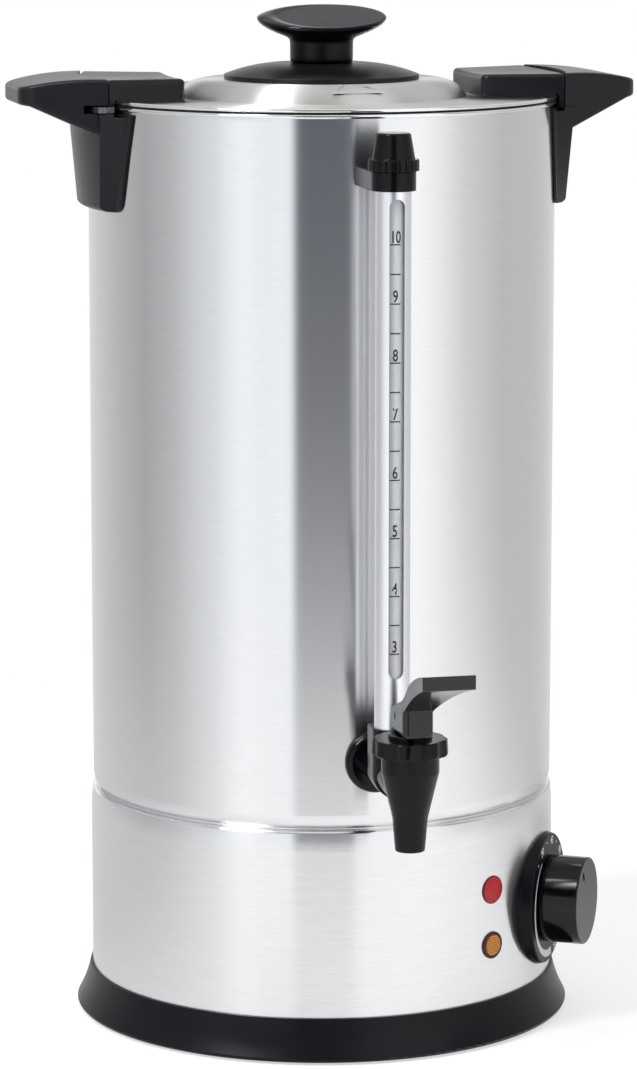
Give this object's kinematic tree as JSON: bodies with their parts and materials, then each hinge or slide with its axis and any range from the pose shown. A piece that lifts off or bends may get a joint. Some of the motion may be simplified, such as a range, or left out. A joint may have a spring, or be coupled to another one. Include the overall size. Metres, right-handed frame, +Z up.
{
  "type": "hot water urn",
  "caption": "Electric hot water urn with a lever tap, a sight gauge, a locking lid with a knob, side handles and a thermostat dial.",
  "frame": {"origin": "on the tank's axis at the worktop that the feet stand on", "axes": "+Z up along the tank's axis; -Y towards the tap, the gauge and the user; +X to the right handle"},
  "size_m": [0.295, 0.3592, 0.4798],
  "materials": {
    "aluminium": "satin anodised",
    "amber_button": "moulded button",
    "black_plastic": "fine grained",
    "black_seal": "smooth rubber",
    "brass": "turned",
    "bright_steel": "polished",
    "glass": "clear",
    "gloss_black_plastic": "glossy",
    "red_lens": "moulded lens",
    "rubber": "matte",
    "steel": "brushed",
    "white_ceramic": "ceramic"
  },
  "bodies": {
    "urn": {"base_ring": "black_plastic", "base_skirt": "steel", "bonnet_nut": "gloss_black_plastic", "bottom_plate": "steel", "bottom_screws": "steel", "cutout_switch": "white_ceramic", "dial_plate": "black_plastic", "dial_screws": "steel", "feet": "rubber", "gauge_base": "gloss_black_plastic", "gauge_bolt": "steel", "gauge_glass": "glass", "gauge_guard": "aluminium", "gauge_seals": "black_seal", "gauge_top": "gloss_black_plastic", "handle_left": "black_plastic", "handle_right": "black_plastic", "handle_screws": "steel", "heater_clamp": "steel", "heating_element": "bright_steel", "heating_lamp_body": "black_plastic", "heating_lamp_lens": "red_lens", "heating_plate": "aluminium", "inlet_pins": "bright_steel", "inlet_screws": "steel", "power_inlet": "black_plastic", "reset_housing": "black_plastic", "reset_spring": "bright_steel", "skirt_brackets": "steel", "stem_guide": "gloss_black_plastic", "tank_floor": "steel", "tank_shell": "steel", "tap_body": "gloss_black_plastic", "tap_gasket": "black_seal", "tap_nut": "brass", "tap_washer": "gloss_black_plastic", "terminal_block": "white_ceramic", "thermostat_body": "white_ceramic", "thermostat_probe": "bright_steel"},
    "lid_ring": {"lid_seal": "black_seal"},
    "lid": {"lid": "steel", "lug_left": "black_plastic", "lug_right": "black_plastic", "tongue_left": "steel", "tongue_right": "steel", "lug_screws": "steel", "knob_plate": "gloss_black_plastic", "lid_knob": "gloss_black_plastic", "knob_screw": "steel"},
    "stem": {"tap_stem": "brass", "seat_cup": "black_seal", "lever_pin": "steel", "tap_spring": "bright_steel"},
    "lever": {"tap_lever": "gloss_black_plastic"},
    "dial": {"thermostat_knob": "black_plastic", "thermostat_shaft": "steel"},
    "button": {"reset_button": "amber_button"},
    "cap": {"gauge_cap": "gloss_black_plastic"}
  },
  "joints": [
    {"name": "lid_lift", "type": "slide", "parent": "urn", "child": "lid_ring", "axis": [0, 0, 1], "range_m": [0, 0.25]},
    {"name": "lid_twist", "type": "hinge", "parent": "lid_ring", "child": "lid", "pos_m": [0, 0, 0.436], "axis": [0, 0, 1], "range_deg": [0, 30]},
    {"name": "lever_press", "type": "hinge", "parent": "stem", "child": "lever", "pos_m": [0, -0.1735, 0.1758], "axis": [1, 0, 0], "range_deg": [0, 22], "stiffness_Nm_per_rad": 0.2, "springref_deg": -20.05},
    {"name": "stem_lift", "type": "slide", "parent": "urn", "child": "stem", "axis": [0, 0, 1], "range_m": [0, 0.0046], "deforming": ["tap_spring"]},
    {"name": "dial_turn", "type": "hinge", "parent": "urn", "child": "dial", "pos_m": [0.0977, -0.0587, 0.0585], "axis": [-0.8572, 0.515, 0], "range_deg": [0, 270]},
    {"name": "reset_push", "type": "slide", "parent": "urn", "child": "button", "axis": [-0.5432, 0.8396, 0], "range_m": [0, 0.002], "stiffness_N_per_m": 400, "springref_m": -0.002, "deforming": ["reset_spring"]},
    {"name": "cap_turn", "type": "hinge", "parent": "urn", "child": "cap", "pos_m": [0, -0.1398, 0.424], "axis": [0, 0, 1], "continuous": true}
  ],
  "couplings": [
    {"joint": "stem_lift", "follows": "lever_press", "m_per_rad": 0.0119}
  ]
}
